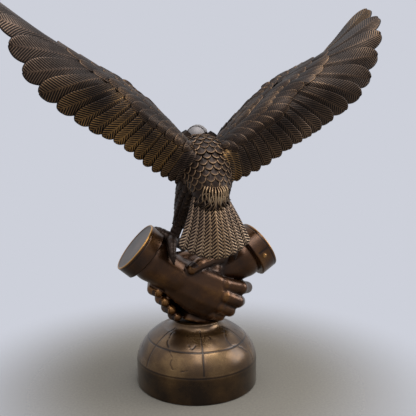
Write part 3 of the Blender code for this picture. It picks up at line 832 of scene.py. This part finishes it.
# How wide a scale is, by the torso's nodes
SCALE_WIDTHS = ([0.5, 2.0, 4.0, 5.5, 6.8], [12.0, 13.5, 14.5, 11.0, 7.5])
HEAD = [(11, 34, 156, 14.5), (16, 44, 157, 14), (20, 54, 154, 12)]
BEAK = [(24, 61, 153, 8.0), (27, 69, 151, 7.2), (30, 76, 145, 4.8), (30.5, 78, 137, 1.8)]
LOWER_BEAK = [(23, 58, 147, 7.0), (26, 68, 144, 4.0), (27, 71, 143, 2.4)]
BROWS = [[(6, 50, 163, 2.6), (11.5, 57, 162, 3.2), (18, 61, 159, 2.4)],
         [(27, 43, 164, 2.6), (29.5, 51, 162, 3.2), (29, 58, 159, 2.4)]]
EYES = [[(8.2, 58, 157.5, 2.6)], [(30.6, 50.5, 157.5, 2.6)]]
LEG = [(19, -40, 98, 18), (22, -28, 76, 15), (25, -16, 54, 10.5), (29, -9, 34, 7.2),
       (35, -6, 18, 7.6), (38, -5, 11, 9.5)]
ANKLE = (38, -5, 11, 9.0)
TOES = [
    [ANKLE, (39, 10, 13, 7.6), (41, 24, 7, 6.2), (42, 31, -5, 4.2), (42, 32, -15, 0.7)],
    [ANKLE, (50, -2, 20, 7.4), (59, 4, 24, 6.0), (66, 10, 20, 4.2), (69, 14, 12, 0.7)],
    [ANKLE, (27, 6, 5, 7.4), (18, 17, -2, 5.8), (13, 25, -10, 4.0), (12, 28, -18, 0.7)],
    [ANKLE, (42, -20, 12, 7.6), (45, -31, 4, 6.0), (45, -38, -7, 4.0), (44, -39, -16, 0.7)],
]


def mirrored(nodes, side):
    return [(side * x, y, z, r) for x, y, z, r in nodes]


def build_body():
    """One skin from rump to nape with legs and arms, scales on the torso, tufts on the legs."""
    limbs = [TORSO, RUMP]
    for side in (-1, 1):
        limbs += [mirrored(LEG[:4], side), arm_limb(side)]
    skin = fused([limbs_mesh(limbs)], voxel=2.5, smoothing=4)
    mark_ridges(skin, gain=1.2, passes=2)
    finish_piece("eagle_body", placed(skin, PERCH_Z), feather_bronze, ["eagle"])
    relief = Relief()
    scale_rows(relief, TORSO + [NAPE], (len(TORSO) - 0.15, 0.1), 8.0, SCALE_WIDTHS, SCALE, gilt=0.15)
    finish_plumage(relief, "body_feathers")
    trousers = Relief()
    for side in (-1, 1):
        scale_rows(trousers, mirrored(LEG, side), (0.4, 3.5), 8.5, ([0], [9.5]), TUFT)
    finish_plumage(trousers, "leg_feathers")


# The beak's direction and how far in front of the skull's last node its horn begins
BEAK_WAY = np.array([0.55, 0.8, -0.2])
BEAK_STARTS = (10.0, 12.0)
EYE_DARK = 0.1


def build_head():
    """Skull, brows and beak in one skin, short silvered feathers over it and two dark eyes."""
    skin = fused([limbs_mesh([HEAD, BEAK, LOWER_BEAK] + BROWS)], voxel=0.9, smoothing=3)
    mark_ridges(skin, gain=1.6, passes=2)
    beak = rise((points_of(skin) - np.array(HEAD[-1][:3])) @ BEAK_WAY, *BEAK_STARTS)
    set_values(skin, "gilt", 0.9 * beak)
    proud = stored(skin.attributes["proud"].data, "value")[:, 0]
    set_values(skin, "proud", proud + 0.1 * beak)
    finish_piece("eagle_head", placed(skin, PERCH_Z), head_silver)
    plumage = Relief()
    scale_rows(plumage, HEAD, (1.45, -0.4), 4.4, ([0], [5.6]), HEAD_FEATHER, length=9.0)
    finish_plumage(plumage, "head_feathers", head_silver)
    eyes = limbs_mesh(EYES)
    set_values(eyes, "proud", np.full(len(eyes.vertices), EYE_DARK))
    finish_piece("eagle_eyes", placed(eyes, PERCH_Z), hand_bronze)


def tube(relief, nodes, sides, rows, profile=None, crest_light_and_shade=0.0, gilt=0.0):
    """A round tube along a smooth curve through (x, y, z, radius) nodes.

    The profile adds to the radius; the argument after it paints a highlight along the side that faces -y
    and shade on the other sides.
    """
    v = np.linspace(0.0, len(nodes) - 1, rows)
    here = curve_through(nodes, v)
    along = unit(np.gradient(here[:, :3], axis=0))
    side = unit(np.cross(along, np.array([0.15, 0.1, 1.0])))
    up = np.cross(side, along)
    radius = here[:, 3] + (profile(v) if profile else 0.0)
    turn = np.linspace(0, 2 * np.pi, sides, endpoint=False)[None, :]
    ring = around(side[:, None], up[:, None], turn)
    # Painted highlight on the side that faces -y, and painted shade on the other sides, between
    # neighbouring locks
    proud = 0.42 + crest_light_and_shade * np.clip(-ring[..., 1], 0.0, 1.0) ** 3 - 0.5 * crest_light_and_shade * (ring[..., 1] > -0.5)
    relief.add_tube(here[:, None, :3] + ring * radius[:, None, None], proud, gilt)


# The node of a toe where its claw begins
CLAW_NODE = 2.9


def build_feet():
    """Bare feet: overlapping scutes along each toe, then a smooth hooked claw."""
    relief = Relief()
    for side in (-1, 1):
        tube(relief, mirrored(LEG[3:], side), sides=18, rows=44,
             profile=lambda v: 0.5 * np.abs(np.sin(v * 9.0)))
        for toe in TOES:
            tube(relief, mirrored(toe, side), sides=16, rows=54,
                 profile=lambda v: 0.55 * np.abs(np.sin(v * 7.0)) * (v < CLAW_NODE))
    finish_plumage(relief, "eagle_feet")


# How far back the rump reaches, by height
RUMP_LINE = ([60, 66, 76, 88, 100], [-80.5, -84.0, -88.0, -89.5, -87.0])


def rump_point(x, z):
    """A point over the rump: the back's line by height, falling off with the square of x."""
    return (x, from_table(RUMP_LINE, z) + 0.028 * x**2 - 1.0, z)


# Locks on the rump: how many, top and bottom height, reach to either side and how golden
LOCK_TIERS = ((13, 86.0, 62.0, 1.22, 0.0), (10, 95.0, 64.0, 1.0, 0.15))
# A lock: part of its length, the tier's half width there, the lock's radius and its sway
LOCK_SHAPE = ((0.0, 12.0, 0.6, 0.0), (0.22, 14.0, 1.3, 1.8), (0.45, 17.0, 1.45, 0.2),
              (0.7, 19.0, 1.3, -2.2), (0.88, 22.0, 0.9, 0.4), (1.0, 25.0, 0.3, 3.0))
# How much lower every other lock ends, in millimetres
LOCK_STAGGER = 7.0


def build_rump():
    """Two tiers of wavy locks from the lowest scales over the root of the tail."""
    relief = Relief()
    for tier, (count, top, bottom, reach, golden) in enumerate(LOCK_TIERS):
        for number in range(count):
            s = 2 * number / (count - 1) - 1.0
            drop = bottom - top + (LOCK_STAGGER if number % 2 else 0.0)
            nodes = []
            for part, width, radius, sway in LOCK_SHAPE:
                x, y, z = rump_point(reach * width * s + sway * math.tanh(3 * s),
                                     top + drop * part + 3 * s**2)
                nodes.append((x, y - 1.0 * tier + 0.8 + 3.0 * (part < 0.1), z, radius))
            # Each lock gets a painted highlight down its outer side and painted shade in the gaps between
            # locks
            tube(relief, nodes, sides=10, rows=30, crest_light_and_shade=0.5, gilt=golden)
    finish_plumage(relief, "rump_plumage")


# Clasped hands, in millimetres above the globe's neck: x right, y away, z up, then radius
NEAR_WRIST = [(-66, -5.6, 92.6, 31), (-52, -9, 81, 28), (-36, -12, 70, 26)]
FAR_WRIST = [(74, 7, 84, 31), (56, 8, 74, 28), (40, 10, 66, 26)]
NEAR_BACK = [
    [(-38, -16, 82, 14), (2, -22, 68, 13), (25, -24, 58, 11)],
    [(-40, -20, 72, 14), (0, -27, 54, 13), (23, -28, 43, 11.5)],
    [(-41, -19, 62, 14), (-6, -26, 40, 13), (16, -27, 28, 11.5)],
    [(-41, -14, 54, 14), (-14, -20, 28, 13), (5, -23, 17, 11)],
]
NEAR_FINGERS = [
    [(34, -25, 54, 10.5), (60, -23, 46, 9.8), (75, -8, 41, 9.0), (66, 14, 40, 8.2)],
    [(32, -29, 38, 10.5), (54, -25, 27, 9.6), (64, -8, 21, 8.8), (56, 14, 22, 8.2)],
    [(24, -28, 24, 10), (42, -24, 14, 8.8), (48, -8, 10, 8.2), (42, 12, 12, 7.8)],
    [(12, -24, 13, 9.5), (28, -20, 6, 7.8), (33, -6, 5, 7.2), (28, 10, 7, 7.0)],
]
NEAR_THUMB = [(-32, 0, 86, 15), (0, 8, 88, 12.5), (28, 18, 80, 10.5), (46, 24, 68, 8.5)]
FAR_THUMB = [(40, 0, 88, 13), (16, -12, 89, 10.5), (-4, -25, 87, 9.2), (-17, -32, 82, 7.6)]
WEB = [(-14, 2, 74, 22), (18, 0, 72, 22), (14, 0, 48, 27), (-6, 0, 46, 26), (0, 0, 26, 21),
       (4, 0, 14, 19)]
FAR_TIPS = [
    [(-30, 26, 66, 10), (-60, 14, 54, 9.6), (-66, -4, 50, 8.6), (-61, -13, 48, 7.6)],
    [(-24, 26, 50, 10), (-50, 14, 38, 9.6), (-55, -3, 35, 8.6), (-51, -12, 33, 7.6)],
    [(-18, 24, 34, 10), (-40, 14, 25, 9.0), (-46, -2, 21, 8.4), (-42, -12, 20, 7.4)],
    [(-10, 20, 20, 9.5), (-30, 12, 12, 8.4), (-37, -2, 9, 7.8), (-33, -11, 8, 6.8)],
]
NEAR_CUFF = ((-69, -5, 95), (-91, -3, 113.5))
FAR_CUFF = ((78, 7, 86), (101, 10, 100.5))
CUFF_RADIUS = 38.0
CUFF_LENGTH = 29.0
# How far the near and the far cuff's bands start from their inner ends
BAND_STARTS = (7.0, 3.0)
# How much wider than the finger its first two knuckles are, and how far they stand back
KNUCKLES = (0.5, 0.4)
KNUCKLES_BACK = 0.4


def far_side(nodes):
    """The other person's hand: the same bones turned half a turn about the upright axis."""
    return [(-x, -y, z, r) for x, y, z, r in nodes]


def between(nodes, others):
    """The limb midway between two limbs."""
    return [tuple((a + b) / 2 for a, b in zip(node, other)) for node, other in zip(nodes, others)]


def build_hands():
    """The palms are smoothed long, the fingers briefly, and both are joined."""
    foot = bmesh.new()
    add_bone(foot, Vector((2, 0, 14)), Vector((0, 0, 0.2)), start_radius=23.0, end_radius=29.0, sides=48)
    backs = NEAR_BACK + [between(a, b) for a, b in zip(NEAR_BACK, NEAR_BACK[1:])]
    limbs = [NEAR_WRIST, FAR_WRIST, WEB] + backs + [far_side(nodes) for nodes in backs]
    palm = fused([limbs_mesh(limbs), mesh_from(foot, "foot")], voxel=1.8, smoothing=12)
    fingers = [NEAR_THUMB, FAR_THUMB] + NEAR_FINGERS + FAR_TIPS
    for nodes in NEAR_FINGERS:
        for (x, y, z, r), proud in zip(nodes, KNUCKLES):
            fingers.append([(x, y - KNUCKLES_BACK, z, r + proud)])
    fingers_mesh = fused([limbs_mesh(fingers)], voxel=1.2, smoothing=5)
    skin = fused([palm, fingers_mesh], voxel=1.45, smoothing=3)
    points = points_of(skin)
    points[:, 2] = np.maximum(points[:, 2], 0.0)
    set_points(skin, points)
    mark_ridges(skin, gain=1.6, passes=4)
    finish_piece("clasped_hands_skin", placed(skin, SEAT_Z), hand_bronze,
                 ["clasped_hands"])
    nails = Relief()
    nailed = [(finger, -math.pi / 2, (2.55, 3.45), 10.0, 0.2) for finger in FAR_TIPS]
    for finger, turn, (root, tip), width, golden in nailed + [(FAR_THUMB, math.pi, (2.5, 3.3), 12.0, 0.5)]:
        feather(nails, limb_ground(finger), (turn, root), (turn, tip), width, NAIL, golden)
    nails.finish("finger_nails", SEAT_Z, hand_bronze, "hand_bronze")


# The slit and the button of a cuff: how far along it, in millimetres, and the turn in degrees
SLIT_ENDS = (6.0, 24.5)
SLIT_TURN = 10.0
BUTTON_AT = 13.0
BUTTON_TURN = -1.0
SLIT_DEPTH = 0.9
SEAM_DEPTH = 0.35
BUTTON_HEIGHT = 1.1


def add_cuff(relief, ends, start):
    """A plain shirt cuff: a turned profile with a rolled rim, a flat end, slit and button."""
    profile = np.array([
        (start - 0.5, 30.0), (start, 37.0), (start + 1.2, CUFF_RADIUS), (CUFF_LENGTH - 1.6, CUFF_RADIUS),
        (CUFF_LENGTH - 0.6, CUFF_RADIUS - 0.25), (CUFF_LENGTH, CUFF_RADIUS - 1.2),
        (CUFF_LENGTH - 0.1, CUFF_RADIUS - 2.2), (CUFF_LENGTH - 0.7, CUFF_RADIUS - 3.2),
        (CUFF_LENGTH - 0.8, 1.0)])
    reach = arc_lengths(profile)
    x, radius = resampled(profile, reach[2], reach[-2], counts=(5, 52, 7))
    turn = np.linspace(0, 2 * np.pi, 130, endpoint=False)[None, :]
    on_side = (radius > CUFF_RADIUS - 0.6) & (x > start + 2.0)
    slit = hump(turn_from(turn, SLIT_TURN) * radius, 0.9) * rise(x, SLIT_ENDS[0], SLIT_ENDS[0] + 2)
    slit = slit * (1 - rise(x, SLIT_ENDS[1] - 2, SLIT_ENDS[1])) * on_side
    away = np.hypot(turn_from(turn, BUTTON_TURN) * radius, x - BUTTON_AT)
    button = (1 - rise(away, 2.4, 3.4)) * on_side
    seam = hump(x - CUFF_LENGTH + 4.5, 0.5) * on_side
    rim = hump(x - CUFF_LENGTH, 1.2) * rise(radius, CUFF_RADIUS - 3.0, CUFF_RADIUS - 1.5)
    face = (radius < CUFF_RADIUS - 3.0) & (x > CUFF_LENGTH / 2)
    wide = radius - SLIT_DEPTH * slit + BUTTON_HEIGHT * button - SEAM_DEPTH * seam
    proud = 0.46 + 0.45 * rim - 0.4 * slit + 0.3 * button - 0.3 * seam - 0.07 * face
    inner = np.array(ends[0], dtype=float)
    axis = unit(np.array(ends[1], dtype=float) - inner)
    side = unit(np.cross(axis, np.array([0.0, 0.0, 1.0])))
    rings = inner + axis * x[..., None] + around(side, np.cross(side, axis), turn) * wide[..., None]
    relief.add_tube(rings, proud, 0.8 * rim + 0.15 * (1 - face) + 0 * turn)


def build_cuffs():
    """The bands of both cuffs, with slit and button."""
    relief = Relief()
    for ends, start in zip((NEAR_CUFF, FAR_CUFF), BAND_STARTS):
        add_cuff(relief, ends, start)
    relief.finish("shirt_cuffs", SEAT_Z, hand_bronze, "hand_bronze")


# Globe, in millimetres: the half globe on its skirt, and the flared neck on top of it
BASE_RADIUS = 88.0
SKIRT_HEIGHT = 33.0
DOME_HEIGHT = 61.0
NECK_RADIUS = 35.0
NECK_FLARE = 14.0
EQUATOR_RISE = 6.5
# Lengths of the outline that are plain: over the underside and across the top of the neck
UNDERSIDE = 85.0
NECK_TOP = 33.0
# How far in and down the lines are engraved, and how far in the equator, in millimetres
LINE_IN = 0.6
LINE_DOWN = 0.45
EQUATOR_IN = 0.5
# Engraved lines: heights of the parallels, turns of the meridians and generic shore lines, each a
# list of (turn in degrees from the back, height in millimetres)
PARALLELS = (68.6,)
MERIDIANS = (-10.6, 49.4, 109.4, 169.4, 229.4, 289.4)
SHORES = (
    [(-66, 89), (-60, 80), (-54, 74), (-48, 68), (-42, 61), (-42, 53), (-37, 48), (-31, 47), (-26, 49)],
    [(-34, 86), (-29, 79), (-24, 73), (-20, 75), (-16, 82), (-8, 81), (-2, 84), (4, 81), (10, 86)],
    [(41, 85), (31, 81), (26, 76), (30, 70), (38, 66), (44, 58), (52, 55), (60, 60), (66, 70), (60, 80)],
    [(90, 82), (84, 74), (92, 66), (88, 58), (98, 50), (108, 53), (112, 62), (122, 68), (118, 80)],
    [(140, 60), (150, 66), (162, 62), (170, 54), (160, 47), (146, 49), (140, 60)],
    [(190, 86), (184, 76), (194, 68), (206, 70), (214, 62), (224, 66), (226, 78), (216, 86)],
    [(240, 58), (250, 64), (262, 60), (268, 50), (256, 45), (244, 49), (240, 58)],
)


def globe_outline():
    """Half section as columns of radius and height: underside, skirt, dome and neck."""
    foot_turn = math.asin((NECK_RADIUS + NECK_FLARE) / BASE_RADIUS)
    band_turn = math.acos(EQUATOR_RISE / DOME_HEIGHT)
    top = SKIRT_HEIGHT + DOME_HEIGHT
    foot = (BASE_RADIUS * math.sin(foot_turn), SKIRT_HEIGHT + DOME_HEIGHT * math.cos(foot_turn))
    band = BASE_RADIUS * math.sin(band_turn)
    equator = SKIRT_HEIGHT + EQUATOR_RISE
    points = [(2.0, 0.0), (BASE_RADIUS - 1.5, 0.0), (BASE_RADIUS - 0.4, 0.5), (BASE_RADIUS, 1.6),
              (BASE_RADIUS, equator - 1.2), (band + 0.5, equator - 0.2), (band + 0.2, equator + 0.6)]
    for turn in np.linspace(band_turn - 0.02, foot_turn, 40):
        points.append((BASE_RADIUS * math.sin(turn), SKIRT_HEIGHT + DOME_HEIGHT * math.cos(turn)))
    for turn in np.linspace(math.pi / 2, 0.0, 14)[1:]:
        points.append((foot[0] - NECK_FLARE * math.cos(turn), top - (top - foot[1]) * math.sin(turn)))
    points.append((2.0, top))
    outline = np.array(points)
    length = arc_lengths(outline)[-1]
    return resampled(outline, UNDERSIDE, length - NECK_TOP, counts=(4, 110, 4))


def shore_line(shore, rng):
    """A wavering line on the dome through (turn, height) points."""
    line = []
    for degrees, level in shore:
        wide = BASE_RADIUS * math.sqrt(1 - ((level - SKIRT_HEIGHT) / DOME_HEIGHT) ** 2)
        angle = math.radians(degrees)
        line.append((wide * math.sin(angle), -wide * math.cos(angle), level))
    line = curve_through(line, np.linspace(0, len(line) - 1, 3 * len(line)))
    line[1:-1] += rng.normal(0.0, 0.9, (len(line) - 2, 3))
    return curve_through(line, np.linspace(0, len(line) - 1, 2 * len(line)))


def distance_to_line(points, line):
    """Least distance of each point to a line of short straight pieces."""
    best = np.full(points.shape[:-1], 1e9)
    for start, end in zip(line[:-1], line[1:]):
        way = end - start
        t = np.clip(((points - start) @ way) / (way @ way), 0.0, 1.0)
        best = np.minimum(best, np.linalg.norm(points - start - t[..., None] * way, axis=-1))
    return best


def rings_about(turn, radius, height):
    """Points round the globe's axis, by the turn from the back."""
    return np.stack([np.sin(turn) * radius, -np.cos(turn) * radius, height + 0 * turn], axis=-1)


def build_globe():
    """The turned outline, cut by engraved parallels, meridians and shore lines."""
    radius, height = globe_outline()
    turn = np.linspace(-np.pi, np.pi, 440, endpoint=False)[None, :]
    on_dome = (height > SKIRT_HEIGHT + EQUATOR_RISE + 1.5) & (radius > NECK_RADIUS + 3)
    groove = 0 * turn + 0 * radius
    for level in PARALLELS:
        groove = np.maximum(groove, hump(height - level, 0.5))
    for degrees in MERIDIANS:
        groove = np.maximum(groove, hump(turn_from(turn, degrees) * radius, 0.6))
    rings = rings_about(turn, radius, height)
    rng = np.random.default_rng(5)
    for shore in SHORES:
        groove = np.maximum(groove, hump(distance_to_line(rings, shore_line(shore, rng)), 0.6))
    groove = groove * on_dome
    equator = hump(height - SKIRT_HEIGHT - EQUATOR_RISE + 0.9, 0.9) * (radius > BASE_RADIUS - 3)
    wide = radius - LINE_IN * groove - EQUATOR_IN * equator
    rings = rings_about(turn, wide, height - LINE_DOWN * groove)
    # Painted shade: the skirt below the equator is made darker
    skirt = 1 - rise(height, SKIRT_HEIGHT, SKIRT_HEIGHT + EQUATOR_RISE)
    relief = Relief()
    relief.add_tube(rings, 0.5 - 0.4 * groove - 0.3 * equator - 0.12 * skirt)
    relief.finish("globe_skin", 0.0, globe_bronze, "globe_bronze", ["globe_base"])


# Stage

# The photograph's camera: focal length and picture in pixels, place in metres, turns in degrees
FOCAL_PX = 600.0
PICTURE_PX = 416.0
CAMERA_PLACE = (-0.24728, -0.80881, 0.39219)
CAMERA_AZIMUTH = -17.0
CAMERA_PAN = 1.119
CAMERA_PITCH = 9.076


def build_camera():
    """The camera that took the photograph, as solved from it."""
    data = bpy.data.cameras.new("photo_camera")
    data.sensor_width = 36.0
    data.lens = FOCAL_PX * data.sensor_width / PICTURE_PX
    camera = add_object("photo_camera", data)
    camera.location = CAMERA_PLACE
    heading = math.radians(CAMERA_AZIMUTH - CAMERA_PAN)
    camera.rotation_euler = (math.radians(90 - CAMERA_PITCH), 0.0, heading)
    bpy.context.scene.camera = camera


# Soft lamps: name, size in metres, power in watts and place
LAMPS = (
    ("overhead_key", 1.5, 40.0, (0.15, -0.55, 2.3)),
    ("right_softbox", 0.7, 9.0, (1.2, -0.35, 0.7)),
    ("front_fill", 0.5, 3.0, (-0.2, -1.1, 1.3)),
)
LAMP_WHITE = (1.0, 0.98, 0.96)
LAMPS_AIM = Vector((0, 0, 0.22))


def add_area(name, size, power, place):
    """A square soft lamp at a place, aimed at the middle of the statue."""
    data = bpy.data.lights.new(name, "AREA")
    data.shape = "SQUARE"
    data.size = size
    data.energy = power
    data.color = LAMP_WHITE
    lamp = add_object(name, data)
    lamp.location = place
    lamp.rotation_euler = (LAMPS_AIM - Vector(place)).to_track_quat("-Z", "Y").to_euler()


# The floor's radius, and between which distances from the statue it fades
FLOOR_RADIUS = 1.6
FLOOR_FADE = (0.14, 0.42)
SAND_MM = 3.125


def build_floor():
    """A grey disc of cast concrete that fades into the backdrop."""
    bm = bmesh.new()
    bmesh.ops.create_circle(bm, cap_ends=True, segments=96, radius=FLOOR_RADIUS)
    mesh = mesh_from(bm, "floor")
    floor = add_object("floor", mesh)
    material = bpy.data.materials.new("pale_concrete_floor")
    material.use_nodes = True
    tree = material.node_tree
    shader = tree.nodes["Principled BSDF"]
    place = add_node(tree, "ShaderNodeTexCoord").outputs["Object"]
    ramp = add_node(tree, "ShaderNodeValToRGB", None, {"Fac": noise(tree, place, 1000 / SAND_MM, 4.0)})
    set_stops(ramp, [(0.3, "#5e5b54"), (0.7, "#6b675e")])
    tree.links.new(ramp.outputs["Color"], shader.inputs["Base Color"])
    shader.inputs["Roughness"].default_value = 0.9
    away = add_node(tree, "ShaderNodeVectorMath", {"operation": "LENGTH"}, {0: place}).outputs["Value"]
    tree.links.new(map_range(tree, away, *FLOOR_FADE, 1.0, 0.0, "SMOOTHSTEP"), shader.inputs["Alpha"])
    mesh.materials.append(material)


# The studio's soft light, as the strength of the sky at the horizon and overhead
WORLD_LOW = 0.55
WORLD_HIGH = 1.45


def build_light():
    """A plain backdrop for the camera, a soft sky for the bronze and three lamps."""
    bpy.context.scene.view_settings.view_transform = "Standard"
    world = bpy.data.worlds.new("soft_studio")
    bpy.context.scene.world = world
    world.use_nodes = True
    tree = world.node_tree
    backdrop = tree.nodes["Background"]
    backdrop.inputs["Color"].default_value = linear("#cdd0da")
    way = add_node(tree, "ShaderNodeTexCoord").outputs["Generated"]
    height = add_node(tree, "ShaderNodeSeparateXYZ", None, {"Vector": way}).outputs["Z"]
    overhead = map_range(tree, height, 0.0, 0.9, WORLD_LOW, WORLD_HIGH, "SMOOTHSTEP")
    dome = add_node(tree, "ShaderNodeBackground", {"Color": linear("#e8e9ee")}, {"Strength": overhead})
    seen = add_node(tree, "ShaderNodeLightPath").outputs["Is Camera Ray"]
    mixed = add_node(tree, "ShaderNodeMixShader", None,
                     {0: seen, 1: dome.outputs[0], 2: backdrop.outputs[0]}).outputs[0]
    tree.links.new(mixed, tree.nodes["World Output"].inputs["Surface"])
    for lamp in LAMPS:
        add_area(*lamp)


build_camera()
build_floor()
build_light()
build_globe()
build_hands()
build_cuffs()
build_body()
build_head()
build_feet()
build_rump()
build_tail()
build_wing("left_wing", left_wing_surface, -1)
build_wing("right_wing", right_wing_surface, 1)
